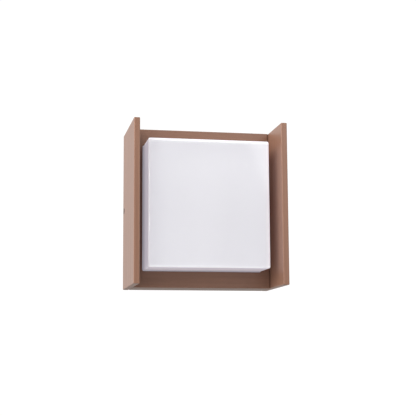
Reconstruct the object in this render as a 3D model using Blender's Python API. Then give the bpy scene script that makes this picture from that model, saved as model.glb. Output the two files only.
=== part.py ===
"""Square outdoor wall lantern with two side panels and an opal box diffuser.

Units are metres, +Z is up and -Y faces away from the wall. The origin is the centre of the wall
plane, on the rear face of the wall bracket. The cover pulls off the bracket along -Y.
"""
import math

import bmesh
import bpy
from mathutils import Vector

# Outside sizes
WIDTH = 0.180
HEIGHT = 0.190
DEPTH = 0.105
PANEL_THICKNESS = 0.007
PANEL_EDGE_RADIUS = 0.0006
HOUSING_DEPTH = 0.043
DIFFUSER_WIDTH = 0.143
DIFFUSER_HEIGHT = 0.150
DIFFUSER_FRONT = 0.091
DIFFUSER_EDGE_RADIUS = 0.002

# Wall thicknesses, clearances, and how far a cutter runs past a face
GAP = 0.0003
CUT = 0.001
HOUSING_WALL = 0.0025
DIFFUSER_WALL = 0.0025
WINDOW_CLEARANCE = 0.0005
WALL_GASKET_THICKNESS = 0.002
DIFFUSER_GASKET_THICKNESS = 0.0014
CLAMP_FRAME_THICKNESS = 0.0015
SHEET = 0.002

# Housing and the parts clamped in it
HALF_X = WIDTH / 2 - PANEL_THICKNESS - GAP
HALF_Z = HEIGHT / 2
INNER_X = HALF_X - HOUSING_WALL
INNER_Z = HALF_Z - HOUSING_WALL
WEB_FRONT = -HOUSING_DEPTH
WEB_REAR = WEB_FRONT + HOUSING_WALL
GASKET_FRONT = WEB_REAR + GAP
FLANGE_FRONT = GASKET_FRONT + DIFFUSER_GASKET_THICKNESS + GAP
FLANGE_REAR = FLANGE_FRONT + DIFFUSER_WALL
FRAME_FRONT = FLANGE_REAR + GAP
FRAME_REAR = FRAME_FRONT + CLAMP_FRAME_THICKNESS
FLANGE_WIDTH = 0.007
BOSS_RADIUS = 0.003
BOSS_Z = 0.0872
BOSS_X = (-0.060, 0.0, 0.060)
BOSS_HOLE_BOTTOM = WEB_REAR - 0.001

# Screws that join the panels to the housing, and the side screws that hold the cover
PANEL_SCREW_Z = (-0.072, -0.026, 0.026, 0.072)
PANEL_SCREW_Y = -0.022
PANEL_SCREW_HOLE_DEPTH = 0.0052
SIDE_SCREW_Y = -0.009
SIDE_SCREW_RECESS = 0.0012
SIDE_SCREW_RADIUS = 0.0024
SIDE_SCREW_LENGTH = 0.0123
SIDE_SCREW_SOCKET = (0.0014, 0.0025)
DOG_RADIUS = 0.0019
DOG_LENGTH = 0.0035

# Wall bracket
PLATE_HALF_X = 0.045
PLATE_HALF_Z = 0.070
PLATE_CORNER = 0.006
ARM_HALF_Z = 0.015
EAR_OUTER_X = 0.0797
EAR_FRONT = -0.022
EAR_SLOT_RADIUS = 0.0025
BEND_RADIUS = 0.003
WALL_SLOT_RADIUS = 0.0026
WALL_SLOT_LENGTH = 0.0104
WALL_SLOT_X = 0.034
WALL_SLOT_Z = 0.052
CABLE_X = -0.020
CABLE_Z = 0.028
CABLE_HOLE_RADIUS = 0.007
GROMMET_BORE_RADIUS = 0.0045
GROMMET_FLANGE_RADIUS = 0.0095
GROMMET_FLANGE_THICKNESS = 0.0018

# Earth lug: a ring with a short tongue, and a barrel crimped round the earth wire
EARTH_X = -0.030
EARTH_Z = -0.020
LUG_RADIUS = 0.0045
LUG_THICKNESS = 0.001
LUG_TONGUE_HALF_X = 0.0019
LUG_TONGUE_LENGTH = 0.010
BARREL_START = 0.0075
BARREL_LENGTH = 0.0075
BARREL_RADIUS = 0.0022
BARREL_BORE_RADIUS = 0.0014
BARREL_OFFSET = 0.0024

# Terminal block
TERMINAL_X = 0.014
TERMINAL_Z = 0.030
TERMINAL_SIZE = (0.034, 0.015, 0.017)
POLE_PITCH = 0.010
INSERT_SIZE = (0.0046, 0.005, 0.013)
INSERT_BORE_RADIUS = 0.0016
CLAMP_SPACING = 0.008
TERMINAL_Y = -SHEET - GAP - TERMINAL_SIZE[1] / 2
BORE_Y = -0.0083
TERMINAL_SCREW_LENGTH = 0.0038

# Lampholder and lamp, on one vertical axis
LAMP_Y = -0.046
HOLDER_BOTTOM = -0.060
HOLDER_TOP = -0.024
HOLDER_RADIUS = 0.019
HOLDER_CAVITY_RADIUS = 0.0146
HOLDER_FLOOR = -0.050
HOLDER_EDGE = 0.001
HOLDER_SCREW_X = 0.011
HOLDER_SCREW_REACH = 0.0068
SLEEVE_INNER_RADIUS = 0.0135
SLEEVE_WALL = 0.0007
SLEEVE_LIP_RADIUS = 0.009
SLEEVE_LIFT = 0.0023
CONTACT_STRIP_THICKNESS = 0.0005
CONTACT_STRIP_HALF_X = 0.003
WIRE_ENTRY_X = 0.006
WIRE_ENTRY_Z = -0.055
WIRE_ENTRY_DEPTH = 0.010
WIRE_ENTRY_RADIUS = 0.0017
WIRE_RADIUS = 0.001
BRACKET_BEND_RADIUS = 0.0025
BRACKET_HALF_X = 0.016
BRACKET_TOP = -0.036
BRACKET_FRONT = -0.064
BRACKET_SCREW_X = 0.009
BRACKET_SCREW_Z = -0.046
THREAD_PITCH = 0.00363
THREAD_TURNS = 4
THREAD_MEAN_RADIUS = 0.0126
THREAD_HEIGHT = 0.0005
LAMP_TIP = HOLDER_FLOOR + 0.002
LAMP_CONTACT_RADIUS = 0.0046
LAMP_CONTACT_HEIGHT = 0.0015
INSULATOR_RADIUS = 0.0112
INSULATOR_HEIGHT = 0.003
CAP_TOP = -0.0215
CAP_FOOT_RADIUS = 0.0114
GLOBE_RADIUS = 0.0225
GLOBE_CENTRE = 0.0075
GLOBE_WALL = 0.0012
GLOBE_BOTTOM = -0.0027

# Flare of the lamp's plastic body: radius, and height above the body's bottom
BODY_FLARE = ((0.0134, 0.0), (0.0142, 0.002), (0.0166, 0.009), (0.0192, 0.015))

# Screw sizes: shank radius, head radius, head height, hexagon socket radius, socket depth
SMALL_SCREW = (0.0015, 0.0029, 0.0018, 0.0012, 0.0011)
LARGE_SCREW = (0.0019, 0.0035, 0.0022, 0.0015, 0.0013)
TERMINAL_SCREW = (0.0012, 0.0017, 0.0020, 0.0009, 0.0009)
HOLE_CLEARANCE = 0.0004

# Colour, roughness and metallic value of each material
MATERIALS = {
    "brown_lacquer": ((0.26, 0.165, 0.125, 1.0), 0.42, 0.55),
    "opal_plastic": ((0.90, 0.90, 0.93, 1.0), 0.18, 0.0),
    "black_rubber": ((0.025, 0.025, 0.025, 1.0), 0.85, 0.0),
    "zinc_steel": ((0.62, 0.62, 0.60, 1.0), 0.38, 1.0),
    "screw_steel": ((0.48, 0.47, 0.46, 1.0), 0.30, 1.0),
    "brass": ((0.72, 0.52, 0.22, 1.0), 0.30, 1.0),
    "terminal_plastic": ((0.82, 0.82, 0.78, 1.0), 0.45, 0.0),
    "ceramic": ((0.86, 0.84, 0.80, 1.0), 0.28, 0.0),
    "lamp_plastic": ((0.88, 0.88, 0.88, 1.0), 0.40, 0.0),
    "lamp_globe": ((0.95, 0.95, 0.93, 1.0), 0.35, 0.0),
    "nickel": ((0.70, 0.69, 0.66, 1.0), 0.25, 1.0),
    "insulator": ((0.04, 0.04, 0.045, 1.0), 0.35, 0.0),
    "wire_brown": ((0.20, 0.085, 0.04, 1.0), 0.50, 0.0),
    "wire_blue": ((0.03, 0.12, 0.50, 1.0), 0.50, 0.0),
    "wire_green": ((0.10, 0.42, 0.10, 1.0), 0.50, 0.0),
}


def clear_scene():
    for obj in list(bpy.data.objects):
        bpy.data.objects.remove(obj, do_unlink=True)


def material(name):
    """Return the named material, making it the first time."""
    found = bpy.data.materials.get(name)
    if found:
        return found
    made = bpy.data.materials.new(name)
    made.use_nodes = True
    shader = made.node_tree.nodes["Principled BSDF"]
    colour, roughness, metallic = MATERIALS[name]
    shader.inputs["Base Color"].default_value = colour
    shader.inputs["Roughness"].default_value = roughness
    shader.inputs["Metallic"].default_value = metallic
    return made


def empty(name, location=(0.0, 0.0, 0.0)):
    """Add an empty that stands for one rigid body, on its joint's axis."""
    made = bpy.data.objects.new(name, None)
    made.location = location
    bpy.context.scene.collection.objects.link(made)
    return made


def add_object(name, bm, parent=None, location=(0.0, 0.0, 0.0), finish=None, smooth=None):
    """Turn a bmesh into a named object with its faces pointing out."""
    bmesh.ops.recalc_face_normals(bm, faces=bm.faces)
    mesh = bpy.data.meshes.new(name)
    bm.to_mesh(mesh)
    bm.free()
    if smooth:
        mesh.shade_smooth()
        mesh.set_sharp_from_angle(angle=math.radians(smooth))
    obj = bpy.data.objects.new(name, mesh)
    obj.parent = parent
    obj.location = location
    if finish:
        mesh.materials.append(material(finish))
    bpy.context.scene.collection.objects.link(obj)
    return obj


def add_tool(name, bm):
    """Add a hidden body that a Boolean reads."""
    tool = add_object(name, bm)
    tool.hide_render = True
    tool.display_type = "WIRE"
    return tool


def combine(target, operation, bm):
    """Join a bmesh to the target, or cut it away, with a Boolean modifier."""
    modifier = target.modifiers.new(operation.lower(), "BOOLEAN")
    modifier.operation = operation
    modifier.solver = "EXACT"
    modifier.object = add_tool(f"{target.name}_{operation.lower()}", bm)


def turn_to(bm, verts, direction, origin):
    """Turn vertices made along +Z so that they run along direction, then move them to origin."""
    rotation = Vector(direction).to_track_quat("Z", "Y").to_matrix()
    bmesh.ops.rotate(bm, cent=(0.0, 0.0, 0.0), matrix=rotation, verts=verts)
    bmesh.ops.translate(bm, vec=origin, verts=verts)


def add_box(bm, low, high):
    """Add an axis-aligned box between two corners."""
    size = [b - a for a, b in zip(low, high)]
    centre = [(a + b) / 2 for a, b in zip(low, high)]
    verts = bmesh.ops.create_cube(bm, size=1.0)["verts"]
    bmesh.ops.scale(bm, vec=size, verts=verts)
    bmesh.ops.translate(bm, vec=centre, verts=verts)


def add_cylinder(bm, start, end, radius, segments=16):
    """Add a capped cylinder between two points."""
    axis = Vector(end) - Vector(start)
    verts = bmesh.ops.create_cone(
        bm, cap_ends=True, segments=segments, radius1=radius, radius2=radius, depth=axis.length
    )["verts"]
    turn_to(bm, verts, axis, (Vector(start) + Vector(end)) / 2)


def add_prism(bm, outline, direction, low, high):
    """Extrude a flat outline, given as points with the coordinate along direction left at zero."""
    along = Vector(direction)
    start = [bm.verts.new(Vector(point) + along * low) for point in outline]
    end = [bm.verts.new(Vector(point) + along * high) for point in outline]
    bm.faces.new(start)
    bm.faces.new(end)
    for i in range(len(outline)):
        j = (i + 1) % len(outline)
        bm.faces.new((start[i], start[j], end[j], end[i]))


def arc(centre, radius, first, last, steps):
    """Points (u, v) along a circular arc, with angles in degrees."""
    angles = [math.radians(first + (last - first) * i / steps) for i in range(steps + 1)]
    return [(centre[0] + radius * math.cos(a), centre[1] + radius * math.sin(a)) for a in angles]


def rounded_rectangle(half_u, half_v, radius, steps=3):
    """Points (u, v) around a rectangle with round corners."""
    points = []
    for sign_u, sign_v, first in ((1, 1, 0), (-1, 1, 90), (-1, -1, 180), (1, -1, 270)):
        centre = (sign_u * (half_u - radius), sign_v * (half_v - radius))
        points += arc(centre, radius, first, first + 90, steps)
    return points


def capsule(centre, radius, length, along_u, steps=6):
    """Points (u, v) around a slot with round ends, along u or along v."""
    reach = length / 2 - radius
    if along_u:
        right = arc((centre[0] + reach, centre[1]), radius, -90, 90, steps)
        return right + arc((centre[0] - reach, centre[1]), radius, 90, 270, steps)
    top = arc((centre[0], centre[1] + reach), radius, 0, 180, steps)
    return top + arc((centre[0], centre[1] - reach), radius, 180, 360, steps)


def loft(bm, rings, closed=True):
    """Skin rounded rectangles (half x, half z, corner radius, y), as a loop or with two end caps."""
    loops = []
    for half_x, half_z, radius, y in rings:
        points = rounded_rectangle(half_x, half_z, radius)
        loops.append([bm.verts.new((u, y, v)) for u, v in points])
    pairs = list(zip(loops, loops[1:]))
    if closed:
        pairs.append((loops[-1], loops[0]))
    else:
        bm.faces.new(loops[0])
        bm.faces.new(loops[-1])
    for near, far in pairs:
        for i in range(len(near)):
            j = (i + 1) % len(near)
            bm.faces.new((near[i], near[j], far[j], far[i]))


def lathe(bm, profile, segments, closed=False):
    """Turn a profile of (radius, z) or (hexagon radius, z, True) about Z, as a ring if closed."""
    loops = []
    for radius, z, *hexagon in profile:
        if radius == 0.0:
            loops.append([bm.verts.new((0.0, 0.0, z))])
            continue
        loop = []
        for i in range(segments):
            angle = 2 * math.pi * i / segments
            reach = radius
            if hexagon:
                reach = radius * math.cos(math.pi / 6) / math.cos(angle % (math.pi / 3) - math.pi / 6)
            loop.append(bm.verts.new((reach * math.cos(angle), reach * math.sin(angle), z)))
        loops.append(loop)
    pairs = list(zip(loops, loops[1:]))
    if closed:
        pairs.append((loops[-1], loops[0]))
    for near, far in pairs:
        for i in range(segments):
            j = (i + 1) % segments
            corners = [near[i % len(near)], near[j % len(near)], far[j % len(far)], far[i % len(far)]]
            bm.faces.new(list(dict.fromkeys(corners)))


def add_turned(name, profile, segments, parent, location, finish, closed=False, direction=(0, 0, 1)):
    """Add a turned piece whose local +Z runs along direction."""
    bm = bmesh.new()
    lathe(bm, profile, segments, closed)
    obj = add_object(name, bm, parent, location, finish, smooth=35)
    obj.rotation_euler = Vector(direction).to_track_quat("Z", "Y").to_euler()
    return obj


def add_screw(name, sizes, length, parent, location, direction):
    """Add a socket screw: location is under its head, and direction points out of the head."""
    shank, head, height, socket, socket_depth = sizes
    profile = [
        (0.0, -length),
        (shank, -length),
        (shank, 0.0),
        (head, 0.0),
        (head * 0.95, height),
        (socket, height, True),
        (socket, height - socket_depth, True),
        (0.0, height - socket_depth),
    ]
    return add_turned(name, profile, 12, parent, location, "screw_steel", direction=direction)


def strip_outline(centreline, thickness):
    """Outline (u, v) of a sheet strip of the given thickness about an open centreline."""
    left, right = [], []
    for i, point in enumerate(centreline):
        before = Vector(centreline[max(i - 1, 0)])
        after = Vector(centreline[min(i + 1, len(centreline) - 1)])
        along = (after - before).normalized()
        side = Vector((-along.y, along.x)) * thickness / 2
        left.append(Vector(point) + side)
        right.append(Vector(point) - side)
    return [tuple(p) for p in left + right[::-1]]


def smooth_route(points, spacing):
    """Points at an even spacing along a smooth curve through the route's own points."""
    route = [Vector(p) for p in points]
    ends = [route[0] * 2 - route[1]] + route + [route[-1] * 2 - route[-2]]
    dense = [route[0]]
    for a, b, c, d in zip(ends, ends[1:], ends[2:], ends[3:]):
        for step in range(1, 13):
            t = step / 12
            point = 2 * b + (c - a) * t + (2 * a - 5 * b + 4 * c - d) * t**2
            dense.append((point + (3 * b - a - 3 * c + d) * t**3) / 2)
    kept = [dense[0]]
    for point in dense[1:-1]:
        if (point - kept[-1]).length >= spacing and (point - dense[-1]).length >= spacing / 2:
            kept.append(point)
    return kept + [dense[-1]]


def add_wire(name, points, parent, finish):
    """Add a round wire along a route."""
    route = smooth_route(points, WIRE_RADIUS * 5)
    curve = bpy.data.curves.new(name, "CURVE")
    curve.dimensions = "3D"
    curve.bevel_depth = WIRE_RADIUS
    curve.bevel_resolution = 2
    curve.use_fill_caps = True
    spline = curve.splines.new("POLY")
    spline.points.add(len(route) - 1)
    for point, place in zip(spline.points, route):
        point.co = (*place, 1.0)
    curve.materials.append(material(finish))
    obj = bpy.data.objects.new(name, curve)
    obj.parent = parent
    bpy.context.scene.collection.objects.link(obj)


def build_housing(cover):
    chamfer = PANEL_EDGE_RADIUS
    window_x = DIFFUSER_WIDTH / 2 + WINDOW_CLEARANCE
    window_z = DIFFUSER_HEIGHT / 2 + WINDOW_CLEARANCE
    rear = -WALL_GASKET_THICKNESS - GAP
    bm = bmesh.new()
    loft(bm, [
        (HALF_X, HALF_Z, 0.0008, rear),
        (HALF_X, HALF_Z, 0.0008, WEB_FRONT + chamfer),
        (HALF_X - chamfer, HALF_Z - chamfer, 0.0005, WEB_FRONT),
        (window_x, window_z, DIFFUSER_EDGE_RADIUS, WEB_FRONT),
        (window_x, window_z, DIFFUSER_EDGE_RADIUS, WEB_REAR),
        (INNER_X, INNER_Z, 0.0005, WEB_REAR),
        (INNER_X, INNER_Z, 0.0005, rear),
    ])
    housing = add_object("back_housing", bm, cover, finish="brown_lacquer", smooth=35)
    bosses = bmesh.new()
    for x in BOSS_X:
        for z in (-BOSS_Z, BOSS_Z):
            add_cylinder(bosses, (x, WEB_REAR - HOUSING_WALL / 2, z), (x, FLANGE_REAR, z), BOSS_RADIUS)
    combine(housing, "UNION", bosses)
    holes = bmesh.new()
    for x in BOSS_X:
        for z in (-BOSS_Z, BOSS_Z):
            start, end = (x, BOSS_HOLE_BOTTOM, z), (x, FLANGE_REAR + CUT, z)
            add_cylinder(holes, start, end, SMALL_SCREW[0] + GAP, 12)
    for side in (-1, 1):
        near, far = side * (INNER_X - CUT), side * (HALF_X + CUT)
        for z in PANEL_SCREW_Z:
            start, end = (near, PANEL_SCREW_Y, z), (far, PANEL_SCREW_Y, z)
            add_cylinder(holes, start, end, LARGE_SCREW[0] + HOLE_CLEARANCE, 12)
        add_cylinder(holes, (near, SIDE_SCREW_Y, 0), (far, SIDE_SCREW_Y, 0), SIDE_SCREW_RADIUS + GAP, 24)
    combine(housing, "DIFFERENCE", holes)


def build_panel(cover, name, side):
    """Add one side panel: side is -1 for left and 1 for right."""
    bm = bmesh.new()
    half = (PANEL_THICKNESS / 2, DEPTH / 2, HEIGHT / 2)
    add_box(bm, [-h for h in half], half)
    bmesh.ops.bevel(
        bm, geom=list(bm.edges), offset=PANEL_EDGE_RADIUS, segments=2, profile=0.5, affect="EDGES"
    )
    centre_x = side * (WIDTH / 2 - PANEL_THICKNESS / 2)
    place = (centre_x, -DEPTH / 2, 0.0)
    panel = add_object(name, bm, cover, place, "brown_lacquer", smooth=35)
    holes = bmesh.new()
    inner = side * (WIDTH / 2 - PANEL_THICKNESS)
    for z in PANEL_SCREW_Z:
        start = (inner - side * CUT, PANEL_SCREW_Y, z)
        end = (inner + side * PANEL_SCREW_HOLE_DEPTH, PANEL_SCREW_Y, z)
        add_cylinder(holes, start, end, LARGE_SCREW[0] + HOLE_CLEARANCE, 12)
    start = (inner - side * CUT, SIDE_SCREW_Y, 0.0)
    end = (side * (WIDTH / 2 + CUT), SIDE_SCREW_Y, 0.0)
    add_cylinder(holes, start, end, SIDE_SCREW_RADIUS + GAP, 24)
    combine(panel, "DIFFERENCE", holes)


def build_panel_screws(cover):
    under_head = INNER_X - GAP
    length = WIDTH / 2 - PANEL_THICKNESS + PANEL_SCREW_HOLE_DEPTH - GAP - under_head
    for side, word in ((-1, "left"), (1, "right")):
        for number, z in enumerate(PANEL_SCREW_Z, 1):
            place = (side * under_head, PANEL_SCREW_Y, z)
            name = f"panel_screw_{word}_{number}"
            add_screw(name, LARGE_SCREW, length, cover, place, (-side, 0, 0))


def build_diffuser(cover):
    half_x, half_z = DIFFUSER_WIDTH / 2, DIFFUSER_HEIGHT / 2
    inner_x, inner_z = half_x - DIFFUSER_WALL, half_z - DIFFUSER_WALL
    radius = DIFFUSER_EDGE_RADIUS
    rings = [
        (inner_x, inner_z, 0.001, -DIFFUSER_FRONT + DIFFUSER_WALL),
        (inner_x, inner_z, 0.001, FLANGE_REAR),
        (half_x + FLANGE_WIDTH, half_z + FLANGE_WIDTH, radius, FLANGE_REAR),
        (half_x + FLANGE_WIDTH, half_z + FLANGE_WIDTH, radius, FLANGE_FRONT),
        (half_x, half_z, radius, FLANGE_FRONT),
    ]
    for depth, drop in arc((0.0, 0.0), radius, 0, 90, 4):
        inset = radius - depth
        corner = max(radius - inset, 0.0002)
        rings.append((half_x - inset, half_z - inset, corner, -DIFFUSER_FRONT + radius - drop))
    bm = bmesh.new()
    loft(bm, rings, closed=False)
    add_object("diffuser", bm, cover, finish="opal_plastic", smooth=50)


def build_clamping(cover):
    """Add the gasket in front of the diffuser's flange, the clamp frame behind it and its screws."""
    outer_x, outer_z = DIFFUSER_WIDTH / 2 + FLANGE_WIDTH, DIFFUSER_HEIGHT / 2 + FLANGE_WIDTH
    inner_x, inner_z = DIFFUSER_WIDTH / 2 + 0.001, DIFFUSER_HEIGHT / 2 + 0.001
    rear = GASKET_FRONT + DIFFUSER_GASKET_THICKNESS
    bm = bmesh.new()
    loft(bm, [
        (outer_x, outer_z, 0.002, rear),
        (outer_x, outer_z, 0.002, GASKET_FRONT),
        (inner_x, inner_z, 0.002, GASKET_FRONT),
        (inner_x, inner_z, 0.002, rear),
    ])
    add_object("diffuser_gasket", bm, cover, finish="black_rubber", smooth=35)
    outer_x, outer_z = INNER_X - 0.0006, INNER_Z - 0.0007
    inner_x, inner_z = DIFFUSER_WIDTH / 2 - 0.001, DIFFUSER_HEIGHT / 2 - 0.001
    bm = bmesh.new()
    loft(bm, [
        (outer_x, outer_z, 0.002, FRAME_REAR),
        (outer_x, outer_z, 0.002, FRAME_FRONT),
        (inner_x, inner_z, 0.003, FRAME_FRONT),
        (inner_x, inner_z, 0.003, FRAME_REAR),
    ])
    frame = add_object("diffuser_clamp_frame", bm, cover, finish="zinc_steel", smooth=35)
    holes = bmesh.new()
    length = FRAME_REAR + GAP - BOSS_HOLE_BOTTOM - GAP
    number = 0
    for z in (-BOSS_Z, BOSS_Z):
        for x in BOSS_X:
            start, end = (x, FRAME_FRONT - CUT, z), (x, FRAME_REAR + CUT, z)
            add_cylinder(holes, start, end, SMALL_SCREW[0] + HOLE_CLEARANCE, 12)
            number += 1
            place = (x, FRAME_REAR + GAP, z)
            add_screw(f"clamp_screw_{number}", SMALL_SCREW, length, cover, place, (0, 1, 0))
    combine(frame, "DIFFERENCE", holes)


def build_wall_gasket(cover):
    bm = bmesh.new()
    loft(bm, [
        (HALF_X - GAP, HALF_Z - GAP, 0.0008, 0.0),
        (HALF_X - GAP, HALF_Z - GAP, 0.0008, -WALL_GASKET_THICKNESS),
        (INNER_X + GAP, INNER_Z + GAP, 0.0005, -WALL_GASKET_THICKNESS),
        (INNER_X + GAP, INNER_Z + GAP, 0.0005, 0.0),
    ])
    add_object("wall_gasket", bm, cover, finish="black_rubber", smooth=35)


def build_side_screw(name, side):
    """Add one grub screw with a plain dog end that sits in the wall bracket's ear."""
    edge = 0.0003
    socket, socket_depth = SIDE_SCREW_SOCKET
    profile = [
        (0.0, 0.0),
        (DOG_RADIUS - edge, 0.0),
        (DOG_RADIUS, edge),
        (DOG_RADIUS, DOG_LENGTH),
        (SIDE_SCREW_RADIUS, DOG_LENGTH + edge),
        (SIDE_SCREW_RADIUS, SIDE_SCREW_LENGTH - edge),
        (SIDE_SCREW_RADIUS - edge, SIDE_SCREW_LENGTH),
        (socket, SIDE_SCREW_LENGTH, True),
        (socket, SIDE_SCREW_LENGTH - socket_depth, True),
        (0.0, SIDE_SCREW_LENGTH - socket_depth - edge),
    ]
    tip_x = side * (WIDTH / 2 - SIDE_SCREW_RECESS - SIDE_SCREW_LENGTH)
    place = (tip_x, SIDE_SCREW_Y, 0.0)
    add_turned(name, profile, 24, None, place, "screw_steel", direction=(side, 0, 0))


def build_wall_bracket(base):
    """Add the sheet-steel plate with two arms bent forward into slotted ears."""
    bend_x = EAR_OUTER_X - BEND_RADIUS
    inner_bend = BEND_RADIUS - SHEET
    right = [(EAR_OUTER_X, EAR_FRONT), (EAR_OUTER_X - SHEET, EAR_FRONT)]
    right += arc((bend_x, -BEND_RADIUS), inner_bend, 0, 90, 3)
    left = [(-x, y) for x, y in reversed(right)]
    left += arc((-bend_x, -BEND_RADIUS), BEND_RADIUS, 180, 90, 4)
    outline = right + left + arc((bend_x, -BEND_RADIUS), BEND_RADIUS, 90, 0, 4)
    bm = bmesh.new()
    add_prism(bm, [(x, y, 0.0) for x, y in outline], (0, 0, 1), -ARM_HALF_Z, ARM_HALF_Z)
    bracket = add_object("wall_bracket", bm, base, finish="zinc_steel", smooth=35)
    plate = bmesh.new()
    points = rounded_rectangle(PLATE_HALF_X, PLATE_HALF_Z, PLATE_CORNER, steps=4)
    add_prism(plate, [(x, 0.0, z) for x, z in points], (0, 1, 0), -SHEET, 0.0)
    combine(bracket, "UNION", plate)
    holes = bmesh.new()
    for x in (-WALL_SLOT_X, WALL_SLOT_X):
        for z in (-WALL_SLOT_Z, WALL_SLOT_Z):
            slot = capsule((x, z), WALL_SLOT_RADIUS, WALL_SLOT_LENGTH, along_u=z < 0)
            add_prism(holes, [(u, 0.0, v) for u, v in slot], (0, 1, 0), -SHEET - CUT, CUT)
    round_holes = [(CABLE_X, CABLE_Z, CABLE_HOLE_RADIUS)]
    round_holes.append((EARTH_X, EARTH_Z, LARGE_SCREW[0] + GAP))
    for x in (-BRACKET_SCREW_X, BRACKET_SCREW_X):
        round_holes.append((x, BRACKET_SCREW_Z, SMALL_SCREW[0] + GAP))
    for x in (TERMINAL_X - POLE_PITCH / 2, TERMINAL_X + POLE_PITCH / 2):
        round_holes.append((x, TERMINAL_Z, SMALL_SCREW[0] + GAP))
    for x, z, radius in round_holes:
        segments = 24 if radius > WALL_SLOT_RADIUS else 12
        add_cylinder(holes, (x, -SHEET - CUT, z), (x, CUT, z), radius, segments)
    slot_length = 2 * (SIDE_SCREW_Y - EAR_FRONT) + 2 * EAR_SLOT_RADIUS
    centre_y = SIDE_SCREW_Y + EAR_SLOT_RADIUS - slot_length / 2
    for side in (-1, 1):
        slot = capsule((centre_y, 0.0), EAR_SLOT_RADIUS, slot_length, along_u=True)
        edges = sorted((side * (EAR_OUTER_X - SHEET - CUT), side * (EAR_OUTER_X + CUT)))
        add_prism(holes, [(0.0, u, v) for u, v in slot], (1, 0, 0), *edges)
    combine(bracket, "DIFFERENCE", holes)


def build_grommet(base):
    sleeve = CABLE_HOLE_RADIUS - GAP
    flange = SHEET + GAP
    top = flange + GROMMET_FLANGE_THICKNESS
    profile = [
        (GROMMET_BORE_RADIUS, 0.0),
        (sleeve, 0.0),
        (sleeve, flange),
        (GROMMET_FLANGE_RADIUS, flange),
        (GROMMET_FLANGE_RADIUS - GAP, top - GAP),
        (GROMMET_BORE_RADIUS + 2 * GAP, top),
        (GROMMET_BORE_RADIUS, top - 2 * GAP),
    ]
    place = (CABLE_X, 0.0, CABLE_Z)
    add_turned("cable_grommet", profile, 24, base, place, "black_rubber", True, (0, -1, 0))


def build_terminals(base):
    """Add the three-pole terminal block with its inserts, clamp screws and fixing screws."""
    size_x, size_y, size_z = TERMINAL_SIZE
    front = TERMINAL_Y - size_y / 2
    poles = [TERMINAL_X + (i - 1) * POLE_PITCH for i in range(3)]
    clamps = (TERMINAL_Z - CLAMP_SPACING / 2, TERMINAL_Z + CLAMP_SPACING / 2)
    bm = bmesh.new()
    half = (size_x / 2, size_y / 2, size_z / 2)
    add_box(bm, [-h for h in half], half)
    bmesh.ops.bevel(bm, geom=list(bm.edges), offset=0.0006, segments=1, affect="EDGES")
    place = (TERMINAL_X, TERMINAL_Y, TERMINAL_Z)
    block = add_object("terminal_block", bm, base, place, "terminal_plastic")
    pockets = bmesh.new()
    reach_x, reach_y = INSERT_SIZE[0] / 2 + GAP, INSERT_SIZE[1] / 2 + GAP
    for x in poles:
        low = (x - reach_x, BORE_Y - reach_y, TERMINAL_Z - size_z)
        add_box(pockets, low, (x + reach_x, BORE_Y + reach_y, TERMINAL_Z + size_z))
    combine(block, "DIFFERENCE", pockets)
    holes = bmesh.new()
    for x in poles:
        for z in clamps:
            start, end = (x, BORE_Y, z), (x, front - CUT, z)
            add_cylinder(holes, start, end, TERMINAL_SCREW[1] + HOLE_CLEARANCE, 12)
    for x in (TERMINAL_X - POLE_PITCH / 2, TERMINAL_X + POLE_PITCH / 2):
        start, end = (x, CUT, TERMINAL_Z), (x, front - CUT, TERMINAL_Z)
        add_cylinder(holes, start, end, SMALL_SCREW[0] + GAP, 12)
    combine(block, "DIFFERENCE", holes)
    for number, x in enumerate(poles, 1):
        build_insert(f"terminal_insert_{number}", base, x, clamps)
    under_head = BORE_Y - WIRE_RADIUS - HOLE_CLEARANCE - TERMINAL_SCREW_LENGTH
    number = 0
    for x in poles:
        for z in clamps:
            number += 1
            place = (x, under_head, z)
            name = f"terminal_screw_{number}"
            add_screw(name, TERMINAL_SCREW, TERMINAL_SCREW_LENGTH, base, place, (0, -1, 0))
    for number, x in enumerate((TERMINAL_X - POLE_PITCH / 2, TERMINAL_X + POLE_PITCH / 2), 1):
        place = (x, front - GAP, TERMINAL_Z)
        name = f"terminal_fixing_screw_{number}"
        add_screw(name, SMALL_SCREW, -front, base, place, (0, -1, 0))


def build_insert(name, base, x, clamps):
    """Add one brass insert with a wire bore and two threaded holes."""
    half = [s / 2 for s in INSERT_SIZE]
    bm = bmesh.new()
    add_box(bm, [-h for h in half], half)
    insert = add_object(name, bm, base, (x, BORE_Y, TERMINAL_Z), "brass")
    holes = bmesh.new()
    start, end = (x, BORE_Y, TERMINAL_Z - half[2] - CUT), (x, BORE_Y, TERMINAL_Z + half[2] + CUT)
    add_cylinder(holes, start, end, INSERT_BORE_RADIUS, 12)
    combine(insert, "DIFFERENCE", holes)
    threads = bmesh.new()
    for z in clamps:
        start, end = (x, BORE_Y, z), (x, BORE_Y - half[1] - CUT, z)
        add_cylinder(threads, start, end, TERMINAL_SCREW[0] + GAP, 12)
    combine(insert, "DIFFERENCE", threads)


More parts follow.
